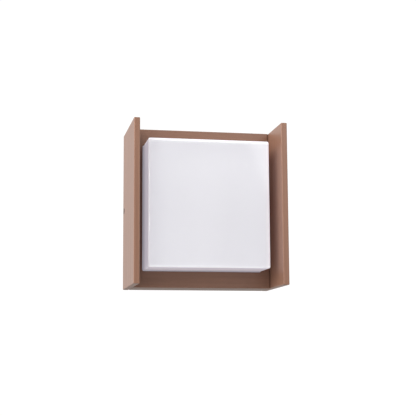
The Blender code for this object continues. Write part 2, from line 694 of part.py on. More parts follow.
def build_earth(base):
    """Add the earth ring lug and its screw."""
    lug_rear = -SHEET - GAP
    lug_front = lug_rear - LUG_THICKNESS
    ring = arc((EARTH_X, EARTH_Z), LUG_RADIUS, -245, 65, 16)
    tongue_top = EARTH_Z + LUG_TONGUE_LENGTH
    left, right = EARTH_X - LUG_TONGUE_HALF_X, EARTH_X + LUG_TONGUE_HALF_X
    outline = ring + [(right, tongue_top), (left, tongue_top)]
    bm = bmesh.new()
    add_prism(bm, [(x, 0.0, z) for x, z in outline], (0, 1, 0), lug_front, lug_rear)
    lug = add_object("earth_lug", bm, base, finish="zinc_steel", smooth=35)
    barrel_y = lug_rear - BARREL_OFFSET
    bottom = EARTH_Z + BARREL_START
    top = bottom + BARREL_LENGTH
    barrel = bmesh.new()
    add_cylinder(barrel, (EARTH_X, barrel_y, bottom), (EARTH_X, barrel_y, top), BARREL_RADIUS)
    combine(lug, "UNION", barrel)
    holes = bmesh.new()
    start, end = (EARTH_X, lug_rear + CUT, EARTH_Z), (EARTH_X, lug_front - CUT, EARTH_Z)
    add_cylinder(holes, start, end, LARGE_SCREW[0] + GAP, 12)
    start, end = (EARTH_X, barrel_y, bottom + LUG_THICKNESS * 1.5), (EARTH_X, barrel_y, top + CUT)
    add_cylinder(holes, start, end, BARREL_BORE_RADIUS, 12)
    combine(lug, "DIFFERENCE", holes)
    place = (EARTH_X, lug_front - GAP, EARTH_Z)
    add_screw("earth_screw", LARGE_SCREW, -lug_front, base, place, (0, -1, 0))


def build_holder_bracket(base):
    """Add the L-shaped sheet bracket that carries the lampholder, and its two screws."""
    back_y = -SHEET - GAP - SHEET / 2
    shelf_z = HOLDER_BOTTOM - GAP - SHEET / 2
    bend = BRACKET_BEND_RADIUS
    centreline = [(back_y, BRACKET_TOP)]
    centreline += arc((back_y - bend, shelf_z + bend), bend, 0, -90, 5)
    centreline.append((BRACKET_FRONT, shelf_z))
    outline = [(0.0, y, z) for y, z in strip_outline(centreline, SHEET)]
    bm = bmesh.new()
    add_prism(bm, outline, (1, 0, 0), -BRACKET_HALF_X, BRACKET_HALF_X)
    bracket = add_object("holder_bracket", bm, base, finish="zinc_steel", smooth=35)
    holes = bmesh.new()
    under_head = back_y - SHEET / 2 - GAP
    for number, x in enumerate((-BRACKET_SCREW_X, BRACKET_SCREW_X), 1):
        start, end = (x, 0.0, BRACKET_SCREW_Z), (x, 3 * back_y, BRACKET_SCREW_Z)
        add_cylinder(holes, start, end, SMALL_SCREW[0] + HOLE_CLEARANCE, 12)
        name = f"holder_bracket_screw_{number}"
        place = (x, under_head, BRACKET_SCREW_Z)
        add_screw(name, SMALL_SCREW, -under_head - GAP, base, place, (0, -1, 0))
    for x in (-HOLDER_SCREW_X, HOLDER_SCREW_X):
        start, end = (x, LAMP_Y, shelf_z - SHEET), (x, LAMP_Y, shelf_z + SHEET)
        add_cylinder(holes, start, end, SMALL_SCREW[0] + HOLE_CLEARANCE, 12)
    combine(bracket, "DIFFERENCE", holes)


def build_holder(base):
    """Add the lampholder body, its thread sleeve, its centre contact and its screws."""
    edge = HOLDER_EDGE
    profile = [
        (0.0, HOLDER_BOTTOM),
        (HOLDER_RADIUS - 2 * edge, HOLDER_BOTTOM),
        (HOLDER_RADIUS - edge, HOLDER_BOTTOM + edge),
        (HOLDER_RADIUS - edge, HOLDER_FLOOR - edge),
        (HOLDER_RADIUS, HOLDER_FLOOR),
        (HOLDER_RADIUS, HOLDER_TOP - edge),
        (HOLDER_RADIUS - edge, HOLDER_TOP),
        (HOLDER_CAVITY_RADIUS, HOLDER_TOP),
        (HOLDER_CAVITY_RADIUS, HOLDER_FLOOR),
        (0.0, HOLDER_FLOOR),
    ]
    axis = (0.0, LAMP_Y, 0.0)
    holder = add_turned("lampholder", profile, 24, base, axis, "ceramic")
    holes = bmesh.new()
    screw_top = HOLDER_BOTTOM + HOLDER_SCREW_REACH
    for x in (-HOLDER_SCREW_X, HOLDER_SCREW_X):
        start, end = (x, LAMP_Y, HOLDER_BOTTOM - CUT), (x, LAMP_Y, screw_top)
        add_cylinder(holes, start, end, SMALL_SCREW[0] + GAP, 12)
    entry_end = LAMP_Y + HOLDER_RADIUS - WIRE_ENTRY_DEPTH
    for x in (-WIRE_ENTRY_X, WIRE_ENTRY_X):
        start, end = (x, entry_end, WIRE_ENTRY_Z), (x, LAMP_Y + HOLDER_RADIUS + CUT, WIRE_ENTRY_Z)
        add_cylinder(holes, start, end, WIRE_ENTRY_RADIUS, 12)
    combine(holder, "DIFFERENCE", holes)
    outer = SLEEVE_INNER_RADIUS + SLEEVE_WALL
    bottom, top = HOLDER_FLOOR + SLEEVE_LIFT, HOLDER_TOP - edge
    sleeve = [
        (SLEEVE_LIP_RADIUS, bottom),
        (outer, bottom),
        (outer, top),
        (SLEEVE_INNER_RADIUS, top),
        (SLEEVE_INNER_RADIUS, bottom + SLEEVE_WALL),
        (SLEEVE_LIP_RADIUS, bottom + SLEEVE_WALL),
    ]
    add_turned("thread_sleeve", sleeve, 24, base, axis, "nickel", closed=True)
    low = HOLDER_FLOOR + GAP + CONTACT_STRIP_THICKNESS / 2
    high = LAMP_TIP - GAP - CONTACT_STRIP_THICKNESS / 2
    centreline = [(-0.010, low), (-0.003, low), (0.001, high), (0.004, high)]
    outline = [(0.0, LAMP_Y + y, z) for y, z in strip_outline(centreline, CONTACT_STRIP_THICKNESS)]
    bm = bmesh.new()
    add_prism(bm, outline, (1, 0, 0), -CONTACT_STRIP_HALF_X, CONTACT_STRIP_HALF_X)
    add_object("centre_contact", bm, base, finish="brass")
    under_head = HOLDER_BOTTOM - SHEET - 2 * GAP
    for number, x in enumerate((-HOLDER_SCREW_X, HOLDER_SCREW_X), 1):
        place = (x, LAMP_Y, under_head)
        length = screw_top - GAP - under_head
        add_screw(f"holder_screw_{number}", SMALL_SCREW, length, base, place, (0, 0, -1))


def build_wires(base):
    """Add the wires from the terminal block to the lampholder and to the earth lug."""
    earth_x, neutral_x, live_x = (TERMINAL_X + (i - 1) * POLE_PITCH for i in range(3))
    inside = LAMP_Y + HOLDER_RADIUS - WIRE_ENTRY_DEPTH + 0.002
    start_z = TERMINAL_Z - 0.002
    add_wire("wire_live", [
        (live_x, BORE_Y, start_z),
        (live_x, BORE_Y, 0.019),
        (0.022, -0.0090, 0.005),
        (0.016, -0.0115, -0.018),
        (0.009, -0.0140, -0.038),
        (WIRE_ENTRY_X, -0.0185, -0.050),
        (WIRE_ENTRY_X, -0.0265, WIRE_ENTRY_Z),
        (WIRE_ENTRY_X, inside, WIRE_ENTRY_Z),
    ], base, "wire_brown")
    add_wire("wire_neutral", [
        (neutral_x, BORE_Y, start_z),
        (neutral_x, BORE_Y, 0.019),
        (0.011, -0.0090, 0.004),
        (0.003, -0.0115, -0.018),
        (-0.004, -0.0140, -0.038),
        (-WIRE_ENTRY_X, -0.0185, -0.050),
        (-WIRE_ENTRY_X, -0.0265, WIRE_ENTRY_Z),
        (-WIRE_ENTRY_X, inside, WIRE_ENTRY_Z),
    ], base, "wire_blue")
    barrel_y = -SHEET - GAP - BARREL_OFFSET
    barrel_top = EARTH_Z + BARREL_START + BARREL_LENGTH
    add_wire("wire_earth", [
        (earth_x, BORE_Y, start_z),
        (earth_x, BORE_Y, 0.019),
        (0.001, -0.0085, 0.010),
        (-0.010, -0.0080, 0.004),
        (-0.021, -0.0065, 0.003),
        (-0.028, barrel_y, -0.0005),
        (EARTH_X, barrel_y, barrel_top),
        (EARTH_X, barrel_y, barrel_top - 0.0055),
    ], base, "wire_green")


def build_lamp(foot, lamp):
    """Add the screw-in lamp. Its contact and insulator ride on foot, and the rest turns with lamp."""
    axis = (0.0, 0.0, 0.0)
    contact_top = LAMP_TIP + LAMP_CONTACT_HEIGHT
    contact = [
        (0.0, LAMP_TIP),
        (LAMP_CONTACT_RADIUS * 0.55, LAMP_TIP),
        (LAMP_CONTACT_RADIUS, LAMP_TIP + LAMP_CONTACT_HEIGHT / 2),
        (LAMP_CONTACT_RADIUS, contact_top),
        (0.0, contact_top),
    ]
    add_turned("lamp_contact", contact, 16, foot, axis, "nickel")
    insulator_bottom = contact_top + GAP
    insulator_top = insulator_bottom + INSULATOR_HEIGHT
    insulator = [
        (0.0, insulator_bottom),
        (LAMP_CONTACT_RADIUS + 2 * GAP, insulator_bottom),
        (INSULATOR_RADIUS, insulator_top - 2 * GAP),
        (INSULATOR_RADIUS, insulator_top),
        (0.0, insulator_top),
    ]
    add_turned("lamp_insulator", insulator, 24, foot, axis, "insulator")
    cap_bottom = insulator_top + GAP
    crest = THREAD_MEAN_RADIUS + THREAD_HEIGHT
    root = THREAD_MEAN_RADIUS - THREAD_HEIGHT
    cap = [(0.0, cap_bottom), (CAP_FOOT_RADIUS, cap_bottom), (root, cap_bottom + 0.001)]
    for i in range(THREAD_TURNS * 4 + 1):
        z = cap_bottom + 0.002 + i * THREAD_PITCH / 4
        cap.append((THREAD_MEAN_RADIUS + THREAD_HEIGHT * math.sin(math.pi * i / 2), z))
    cap += [(crest, CAP_TOP - 0.003), (crest, CAP_TOP), (0.0, CAP_TOP)]
    add_turned("lamp_cap", cap, 20, lamp, axis, "nickel")
    body_bottom = CAP_TOP + GAP
    body_top = GLOBE_BOTTOM - GAP
    rim = math.sqrt(GLOBE_RADIUS**2 - (GLOBE_BOTTOM - GLOBE_CENTRE) ** 2)
    body = [(0.0, body_bottom)] + [(radius, body_bottom + rise) for radius, rise in BODY_FLARE]
    body += [(rim, body_top - 0.001), (rim, body_top), (0.0, body_top)]
    add_turned("lamp_body", body, 20, lamp, axis, "lamp_plastic")
    start = math.degrees(math.asin((GLOBE_BOTTOM - GLOBE_CENTRE) / GLOBE_RADIUS))
    outer = arc((0.0, GLOBE_CENTRE), GLOBE_RADIUS, start, 90, 7)
    inner_radius = GLOBE_RADIUS - GLOBE_WALL
    start = math.degrees(math.asin((GLOBE_BOTTOM - GLOBE_CENTRE) / inner_radius))
    inner = arc((0.0, GLOBE_CENTRE), inner_radius, start, 90, 5)
    globe = outer[:-1] + [(0.0, GLOBE_CENTRE + GLOBE_RADIUS)]
    globe = [(0.0, GLOBE_CENTRE + inner_radius)] + inner[:-1][::-1] + globe
    add_turned("lamp_globe", globe, 20, lamp, axis, "lamp_globe")


def main():
    clear_scene()
    cover = empty("cover")
    base = empty("wall_base")
    foot = empty("lamp_foot", (0.0, LAMP_Y, 0.0))
    lamp = empty("lamp")
    lamp.parent = foot
    build_housing(cover)
    build_panel(cover, "side_panel_left", -1)
    build_panel(cover, "side_panel_right", 1)
    build_panel_screws(cover)
    build_diffuser(cover)
    build_clamping(cover)
    build_wall_gasket(cover)
    build_side_screw("side_screw_left", -1)
    build_side_screw("side_screw_right", 1)
    build_wall_bracket(base)
    build_grommet(base)
    build_terminals(base)
    build_earth(base)
    build_holder_bracket(base)
    build_holder(base)
    build_wires(base)
    build_lamp(foot, lamp)


main()
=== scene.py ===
"""Looks of a square outdoor wall lantern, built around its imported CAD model.

Metres, +Z up, -Y towards the viewer, and the wall in the plane y = 0, as in the CAD model. Fine
pieces replace most CAD nodes, and the nodes that stay get materials and narrow round edges.
"""
import math

import bmesh
import bpy
from mathutils import Matrix, Quaternion, Vector


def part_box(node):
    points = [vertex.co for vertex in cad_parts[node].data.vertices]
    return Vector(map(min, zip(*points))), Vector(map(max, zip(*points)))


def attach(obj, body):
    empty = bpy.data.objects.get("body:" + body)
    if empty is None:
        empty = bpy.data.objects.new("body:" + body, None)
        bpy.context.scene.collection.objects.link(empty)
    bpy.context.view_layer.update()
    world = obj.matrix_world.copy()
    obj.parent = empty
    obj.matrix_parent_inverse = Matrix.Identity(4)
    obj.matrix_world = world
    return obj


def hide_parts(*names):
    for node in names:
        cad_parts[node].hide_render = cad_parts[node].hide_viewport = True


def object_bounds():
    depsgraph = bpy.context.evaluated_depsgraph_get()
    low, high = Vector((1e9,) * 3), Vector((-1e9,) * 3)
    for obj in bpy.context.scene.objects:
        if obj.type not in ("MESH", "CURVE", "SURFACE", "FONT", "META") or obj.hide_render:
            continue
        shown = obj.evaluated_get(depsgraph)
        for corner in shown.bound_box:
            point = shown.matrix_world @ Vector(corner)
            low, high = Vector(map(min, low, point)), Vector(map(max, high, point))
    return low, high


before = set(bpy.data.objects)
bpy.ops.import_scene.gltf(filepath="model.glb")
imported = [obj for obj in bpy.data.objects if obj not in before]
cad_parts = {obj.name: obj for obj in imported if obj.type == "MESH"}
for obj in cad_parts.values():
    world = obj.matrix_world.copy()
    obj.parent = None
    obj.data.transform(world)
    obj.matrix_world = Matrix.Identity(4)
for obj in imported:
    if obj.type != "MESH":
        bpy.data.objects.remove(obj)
cad_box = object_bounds()

# Sizes that the CAD model uses inside its parts
GAP = 0.0003
HOUSING_WALL = 0.0025
HOUSING_CORNER = 0.0008
DIFFUSER_WALL = 0.0025
FLANGE_WIDTH = 0.007
WINDOW_CLEARANCE = 0.0005
BOSS_RADIUS = 0.003
PANEL_SCREW_HOLE_RADIUS = 0.0023
PANEL_SCREW_HOLE_DEPTH = 0.0052
CLAMP_SCREW_HOLE_RADIUS = 0.0018
SIDE_SCREW_HOLE_RADIUS = 0.0027
DOG_RADIUS = 0.0019
DOG_LENGTH = 0.0035
HOLDER_CAVITY_RADIUS = 0.0146
HOLDER_FLOOR = -0.050
HOLDER_SCREW_REACH = 0.0068
WIRE_ENTRY_X = 0.006
WIRE_ENTRY_Z = -0.055
WIRE_ENTRY_RADIUS = 0.0017
WIRE_ENTRY_DEPTH = 0.010
SLEEVE_WALL = 0.0006
SLEEVE_LIP_RADIUS = 0.009
THREAD_PITCH = 0.00363
GLOBE_WALL = 0.0012
GROMMET_BORE_RADIUS = 0.0045
GROMMET_SLEEVE_RADIUS = 0.0067
GROMMET_FLANGE_THICKNESS = 0.0018

# The lamp body's flare, as radius and height above its foot
LAMP_BODY_FLARE = ((0.0134, 0.0), (0.0142, 0.002), (0.0166, 0.009), (0.0192, 0.015))

# Pan-head screws: shank radius, head height, hexagon socket radius, socket depth
SMALL_SCREW = (0.0015, 0.0018, 0.0012, 0.0011)
LARGE_SCREW = (0.0019, 0.0022, 0.0015, 0.0013)
TERMINAL_SCREW = (0.0012, 0.0020, 0.0009, 0.0009)
SCREW_EDGE = 0.0003

# The side screws' thread and socket, and any socket's rim as a share of its radius
GRUB_EDGE = 0.0003
GRUB_PITCH = 0.0008
GRUB_TURNS = 9
GRUB_SOCKET_RADIUS = 0.0014
GRUB_SOCKET_DEPTH = 0.0025
SOCKET_RIM = 1.15

# Round threads on the lamp's cap and in its holder: depth from the mean to a crest, how far the
# thread stays from the lower and upper end, and the rings in one turn
CAP_THREAD = 0.0005
CAP_THREAD_ENDS = (0.0015, 0.003)
SLEEVE_THREAD = 0.0003
SLEEVE_THREAD_ENDS = (0.002, 0.001)
THREAD_STEPS = 12

# Rounded edges, small steps and chamfers
PANEL_EDGE = 0.0009
DIFFUSER_EDGE = 0.002
DIFFUSER_INNER_EDGE = 0.001
HOUSING_INNER_CORNER = 0.0005
BORE_CHAMFER = 0.0011
SMALLEST_CORNER = 0.0002
GROMMET_EDGE = 0.0007
HOLDER_STEP = 0.001
HOLDER_EDGE = 0.0005
CAP_FOOT_INSET = 0.0017
LAMP_FOOT_EDGE = 0.0006
LAMP_BODY_EDGE = 0.0022

# The angle above which an edge stays sharp, and how near to each other points are welded
SHARP_ANGLE = math.radians(35)
WELD_DISTANCE = 0.00001

# How far a cutter runs past a face
OVERRUN = 0.001

# Camera: a long lens below and to the left of the lantern, looking slightly up at it
SENSOR = 36.0
LENS = 90.94
CAMERA_PLACE = (-0.23376, -1.26828, -0.18493)
CAMERA_YAW = math.radians(11.13)
CAMERA_PITCH = math.radians(8.48)
CAMERA_ROLL = math.radians(-0.36)

# Soft boxes: name, place, width and height, turn about the beam in degrees, and power. The left edge
# of the one on the right shows as a slanting reflection in the diffuser's upper right.
SOFTBOXES = [
    ("key_left", (-1.25, -1.15, 0.85), (1.5, 1.5), 0.0, 24.0),
    ("fill_right", (0.735, -1.673, 0.868), (0.85, 1.2), 13.2, 8.0),
]

# The studio's own light: an even part, and the strength of each soft lobe about a direction
AMBIENT = 0.12
SKY = [
    ((0.0, 1.0, 0.0), 0.22),
    ((0.0, -1.0, 0.0), 0.10),
    ((-1.0, 0.0, 0.0), 1.70),
    ((1.0, 0.0, 0.0), 0.60),
    ((0.0, 0.0, 1.0), 0.15),
]

# The white that the camera sees behind the lantern, and the pale floor
BACKDROP = 1.05
FLOOR_RADIUS = 1.6
FLOOR_Z = -0.45

# Painted glow: emission on the opal plastic that stands in for light carried through it. Its strength
# on the outer and inner faces, the stretch of y over which it fades to painted shade towards the wall,
# and its colours before and after that
OUTER_PAINTED_GLOW = 0.41
INNER_PAINTED_GLOW = 0.02
PAINTED_GLOW_FADE = (-0.068, -0.042)
FRONT_PAINTED_GLOW = (0.89, 0.86, 1.0)
REAR_PAINTED_GLOW = (0.30, 0.29, 0.36)

# The lacquer's brown, and the metal flakes in it
LACQUER_BROWN = (0.258, 0.129, 0.082)
FLAKE_BRONZE = (0.42, 0.27, 0.20)


# ---------------------------------------------------------------- materials

class Look:
    """One procedural material, with short methods that add and link its nodes."""

    def __init__(self, name, **sockets):
        self.material = bpy.data.materials.new(name)
        self.material.use_nodes = True
        self.tree = self.material.node_tree
        self.shader = self.tree.nodes["Principled BSDF"]
        self.coordinates = self.tree.nodes.new("ShaderNodeTexCoord")
        for socket, value in sockets.items():
            self.shader.inputs[socket.replace("_", " ")].default_value = value

    def noise(self, scale, detail=3.0, roughness=0.5):
        """Noise over object coordinates, with scale in features per metre, or one for each axis."""
        stretch = self.tree.nodes.new("ShaderNodeMapping")
        stretch.inputs["Scale"].default_value = scale if isinstance(scale, tuple) else (scale,) * 3
        self.tree.links.new(self.coordinates.outputs["Object"], stretch.inputs["Vector"])
        node = self.tree.nodes.new("ShaderNodeTexNoise")
        node.inputs["Scale"].default_value = 1.0
        node.inputs["Detail"].default_value = detail
        node.inputs["Roughness"].default_value = roughness
        self.tree.links.new(stretch.outputs["Vector"], node.inputs["Vector"])
        return node.outputs["Fac"]

    def remap(self, value, low, high, start=0.3, end=0.7):
        """Map start..end of a value to low..high."""
        node = self.tree.nodes.new("ShaderNodeMapRange")
        self.tree.links.new(value, node.inputs["Value"])
        settings = (("From Min", start), ("From Max", end), ("To Min", low), ("To Max", high))
        for name, number in settings:
            node.inputs[name].default_value = number
        return node.outputs["Result"]

    def mix(self, factor, first, second):
        """Mix two colours, each of which is a tuple or another node's output."""
        node = self.tree.nodes.new("ShaderNodeMix")
        node.data_type = "RGBA"
        self.tree.links.new(factor, node.inputs[0])
        for index, value in ((6, first), (7, second)):
            if isinstance(value, tuple):
                node.inputs[index].default_value = (*value, 1.0)
            else:
                self.tree.links.new(value, node.inputs[index])
        return node.outputs[2]

    def average(self, first, second):
        """The mean of two values."""
        node = self.tree.nodes.new("ShaderNodeMath")
        node.operation = "MULTIPLY_ADD"
        half = self.tree.nodes.new("ShaderNodeMath")
        half.operation = "MULTIPLY"
        half.inputs[1].default_value = 0.5
        self.tree.links.new(second, half.inputs[0])
        self.tree.links.new(first, node.inputs[0])
        node.inputs[1].default_value = 0.5
        self.tree.links.new(half.outputs[0], node.inputs[2])
        return node.outputs[0]

    def bump(self, height, distance, before=None):
        """A bump of the given depth in metres, on top of another bump if there is one."""
        node = self.tree.nodes.new("ShaderNodeBump")
        node.inputs["Distance"].default_value = distance
        self.tree.links.new(height, node.inputs["Height"])
        if before:
            self.tree.links.new(before, node.inputs["Normal"])
        return node.outputs["Normal"]

    def finish(self, colour, roughness, normal):
        """Link the three varying sockets and return the material."""
        for name, value in (("Base Color", colour), ("Roughness", roughness), ("Normal", normal)):
            self.tree.links.new(value, self.shader.inputs[name])
        return self.material


def lacquer(name, grain, tone):
    """Satin metallic brown lacquer over metal brushed along one axis, which grain says; a tone below 1
    darkens it as painted shade.
    """
    look = Look(name, Metallic=0.1, IOR=1.5)
    # tone scales the brown; below 1 it paints shade on the same lacquer
    base = tuple(channel * tone for channel in LACQUER_BROWN)
    light, dark = (tuple(channel * share for channel in base) for share in (1.16, 0.86))
    brush = look.noise(grain, 5.0, 0.7)
    streaks = look.noise(tuple(lines * 0.4 for lines in grain), 3.0, 0.6)
    patches = look.noise(24.0, 2.0)
    flakes = look.noise(5200.0, 1.0)
    colour = look.mix(look.remap(brush, 0.0, 1.0), dark, light)
    colour = look.mix(look.remap(patches, 0.0, 0.5), colour, base)
    colour = look.mix(look.remap(streaks, 0.0, 0.28), colour, dark)
    colour = look.mix(look.remap(flakes, 0.0, 0.25, 0.5, 0.75), colour, FLAKE_BRONZE)
    roughness = look.average(look.remap(brush, 0.28, 0.42), look.remap(streaks, 0.26, 0.44))
    normal = look.bump(flakes, 0.000004, look.bump(brush, 0.00002))
    return look.finish(colour, roughness, normal)


def opal(name, glow, tint):
    """Glossy opal acrylic: milky, with faint moulding waves and dust-fine scratches, and an emitted
    painted glow that fades towards the wall as painted shade.
    """
    look = Look(name, IOR=1.49, Subsurface_Weight=1.0, Subsurface_Scale=0.05)
    look.shader.inputs["Subsurface Radius"].default_value = (1.0, 0.97, 1.05)
    # Painted glow: an emission that stands in for light carried through the opal, not a lamp
    look.shader.inputs["Emission Strength"].default_value = glow
    split = look.tree.nodes.new("ShaderNodeSeparateXYZ")
    look.tree.links.new(look.coordinates.outputs["Object"], split.inputs["Vector"])
    # The glow's colour darkens towards the wall: painted shade on the sides
    depth = look.remap(split.outputs["Y"], 0.0, 1.0, *PAINTED_GLOW_FADE)
    painted_glow_colour = look.mix(depth, FRONT_PAINTED_GLOW, REAR_PAINTED_GLOW)
    look.tree.links.new(painted_glow_colour, look.shader.inputs["Emission Color"])
    waves = look.noise(16.0, 2.0)
    dust = look.noise(900.0, 3.0)
    darker = tuple(channel * 0.97 for channel in tint)
    colour = look.mix(look.remap(waves, 0.0, 1.0), tint, darker)
    normal = look.bump(dust, 0.0000003, look.bump(waves, 0.00003))
    return look.finish(colour, look.remap(dust, 0.03, 0.06), normal)


def metal(name, colour, roughness, grain=400.0, depth=0.00001):
    """Bare or plated metal with fine grain and cloudy patches of tone and shine."""
    look = Look(name, Metallic=1.0)
    lines = look.noise(grain, 4.0, 0.6)
    cloud = look.noise(60.0, 3.0)
    darker = tuple(channel * 0.84 for channel in colour)
    mixed = look.mix(look.remap(cloud, 0.0, 1.0), colour, darker)
    mixed = look.mix(look.remap(lines, 0.0, 0.4), mixed, darker)
    shine = look.average(
        look.remap(cloud, roughness * 0.8, roughness * 1.3),
        look.remap(lines, roughness * 0.8, roughness * 1.3),
    )
    return look.finish(mixed, shine, look.bump(lines, depth))


def moulded(name, colour, roughness, grain=2600.0, depth=0.00001, shade=0.88, **sockets):
    """Plastic, porcelain or rubber: fine surface grain and soft blotches of tone."""
    look = Look(name, **sockets)
    fine = look.noise(grain, 2.0)
    blotch = look.noise(90.0, 3.0)
    darker = tuple(channel * shade for channel in colour)
    mixed = look.mix(look.remap(blotch, 0.0, 1.0), colour, darker)
    shine = look.average(
        look.remap(fine, roughness * 0.85, roughness * 1.15),
        look.remap(blotch, roughness * 0.85, roughness * 1.15),
    )
    return look.finish(mixed, shine, look.bump(fine, depth))


def two_tone(name):
    """Green insulation with a yellow stripe along the side that faces away from the wall."""
    look = Look(name)
    split = look.tree.nodes.new("ShaderNodeSeparateXYZ")
    look.tree.links.new(look.coordinates.outputs["Normal"], split.inputs["Vector"])
    stripe = look.remap(split.outputs["Y"], 1.0, 0.0, -0.62, -0.52)
    fine = look.noise(1800.0, 2.0)
    green, yellow = (0.045, 0.26, 0.06), (0.80, 0.60, 0.03)
    colour = look.mix(stripe, green, yellow)
    return look.finish(colour, look.remap(fine, 0.40, 0.55), look.bump(fine, 0.00001))


LOOKS = {
    "brown_vertical": lacquer("brown_vertical", (650.0, 650.0, 8.0), 1.0),
    # The housing's copy is darkened to 0.80 as painted shade; its brushing runs level
    "brown_level_painted_shade": lacquer("brown_level_painted_shade", (8.0, 650.0, 650.0), 0.80),
    # The outer faces carry the painted glow
    "opal_plastic": opal("opal_plastic", OUTER_PAINTED_GLOW, (0.940, 0.933, 0.955)),
    # A darker copy of the opal with a weaker glow, for the faces inside the box: painted shade
    "opal_inside_painted_shade": opal("opal_inside_painted_shade", INNER_PAINTED_GLOW, (0.80, 0.79, 0.80)),
    "black_rubber": moulded("black_rubber", (0.022, 0.022, 0.023), 0.72, 1500.0, 0.00002, 0.7),
    "zinc_steel": metal("zinc_steel", (0.60, 0.61, 0.60), 0.34),
    "screw_steel": metal("screw_steel", (0.46, 0.45, 0.44), 0.28, 900.0),
    "brass": metal("brass", (0.72, 0.50, 0.20), 0.30, 700.0),
    "nickel": metal("nickel", (0.66, 0.64, 0.60), 0.24, 700.0, 0.000006),
    "terminal_plastic": moulded("terminal_plastic", (0.80, 0.79, 0.74), 0.42),
    "ceramic": moulded("ceramic", (0.84, 0.82, 0.77), 0.20, 700.0, 0.00001, 0.93, Coat_Weight=0.6),
    "lamp_plastic": moulded("lamp_plastic", (0.86, 0.86, 0.85), 0.38),
    "lamp_globe": moulded("lamp_globe", (0.92, 0.92, 0.90), 0.45, 3000.0, 0.000006, 0.96),
    "insulator": moulded("insulator", (0.02, 0.02, 0.024), 0.22, 900.0),
    # Near-black walls for the side screws' bores: painted shade in the hole
    "bore_painted_shade": moulded("bore_painted_shade", (0.012, 0.009, 0.008), 0.8, 1500.0, 0.00002, 0.7),
    "wire_brown": moulded("wire_brown", (0.16, 0.060, 0.026), 0.48),
    "wire_blue": moulded("wire_blue", (0.025, 0.11, 0.46), 0.48),
    "wire_green": two_tone("wire_green"),
}
PALE_FLOOR = moulded("pale_floor", (0.55, 0.55, 0.55), 0.8, 90.0, 0.0001, 0.985)


# ---------------------------------------------------------------- shape helpers

def arc(centre, radius, first, last, steps):
    """Points (u, v) along a circular arc, with angles in degrees."""
    angles = [math.radians(first + (last - first) * i / steps) for i in range(steps + 1)]
    return [(centre[0] + radius * math.cos(a), centre[1] + radius * math.sin(a)) for a in angles]


def rounded_rectangle(half_u, half_v, radius, steps=8):
    """Points (u, v) around a rectangle with round corners."""
    points = []
    for sign_u, sign_v, first in ((1, 1, 0), (-1, 1, 90), (-1, -1, 180), (1, -1, 270)):
        centre = (sign_u * (half_u - radius), sign_v * (half_v - radius))
        points += arc(centre, radius, first, first + 90, steps)
    return points


def skin(bm, loops, closed):
    """Join loops of vertices with faces; a loop of one vertex is a pole."""
    pairs = list(zip(loops, loops[1:]))
    if closed:
        pairs.append((loops[-1], loops[0]))
    for near, far in pairs:
        count = max(len(near), len(far))
        for i in range(count):
            j = (i + 1) % count
            corners = [near[i % len(near)], near[j % len(near)], far[j % len(far)], far[i % len(far)]]
            bm.faces.new(list(dict.fromkeys(corners)))


def loft(bm, rings, closed=True):
    """Skin rounded rectangles (half x, half z, corner radius, y), as a loop or with two end caps."""
    loops = []
    for half_x, half_z, radius, y in rings:
        points = rounded_rectangle(half_x, half_z, radius)
        loops.append([bm.verts.new((u, y, v)) for u, v in points])
    skin(bm, loops, closed)
    if not closed:
        bm.faces.new(loops[0])
        bm.faces.new(loops[-1])


def lathe(bm, profile, segments=64, closed=False):
    """Turn a profile of (radius, z) about Z; a radius may be a function of the angle."""
    loops = []
    for radius, z in profile:
        if radius == 0.0:
            loops.append([bm.verts.new((0.0, 0.0, z))])
            continue
        loop = []
        for i in range(segments):
            angle = 2 * math.pi * i / segments
            reach = radius(angle) if callable(radius) else radius
            loop.append(bm.verts.new((reach * math.cos(angle), reach * math.sin(angle), z)))
        loops.append(loop)
    skin(bm, loops, closed)


def hexagon(radius):
    """Reach of a hexagon with the given corner radius, as a function of the angle."""
    sixth = math.pi / 3
    return lambda angle: radius * math.cos(sixth / 2) / math.cos(angle % sixth - sixth / 2)


def thread(mean, depth, low, high):
    """Profile rings of a right-hand round thread that fades out at both ends."""
    steps = round((high - low) / THREAD_PITCH * THREAD_STEPS)
    rings = []
    for i in range(steps + 1):
        z = low + (high - low) * i / steps
        height = depth * min(1.0, (z - low) / THREAD_PITCH * 2, (high - z) / THREAD_PITCH * 2)
        phase = 2 * math.pi * z / THREAD_PITCH
        rings.append((lambda angle, h=height, p=phase: mean + h * math.cos(p - angle), z))
    return rings


def rounded(profile, radius, steps=3, closed=False):
    """Round each corner of a profile of (radius, z), except where it meets the axis."""
    count = len(profile)
    result = []
    for i, point in enumerate(profile):
        neighbours = [profile[i - 1], profile[(i + 1) % count]]
        if not (closed or 0 < i < count - 1) or any(callable(p[0]) for p in [point, *neighbours]):
            result.append(point)
            continue
        here = Vector(point)
        before, after = (Vector(p) - here for p in neighbours)
        start = here + before.normalized() * min(radius, before.length * 0.45)
        end = here + after.normalized() * min(radius, after.length * 0.45)
        for k in range(steps + 1):
            t = k / steps
            result.append(tuple(start * (1 - t) ** 2 + here * 2 * t * (1 - t) + end * t**2))
    return result


def add_cylinder(bm, start, end, radius, segments=48):
    """Add a capped cylinder between two points."""
    axis = Vector(end) - Vector(start)
    verts = bmesh.ops.create_cone(
        bm, cap_ends=True, segments=segments, radius1=radius, radius2=radius, depth=axis.length
    )["verts"]
    rotation = axis.to_track_quat("Z", "Y").to_matrix()
    bmesh.ops.rotate(bm, cent=(0, 0, 0), matrix=rotation, verts=verts)
    bmesh.ops.translate(bm, vec=(Vector(start) + Vector(end)) / 2, verts=verts)


def shade(mesh):
    """Shade a mesh smooth, apart from its sharp edges."""
    mesh.shade_smooth()
    mesh.set_sharp_from_angle(angle=SHARP_ANGLE)


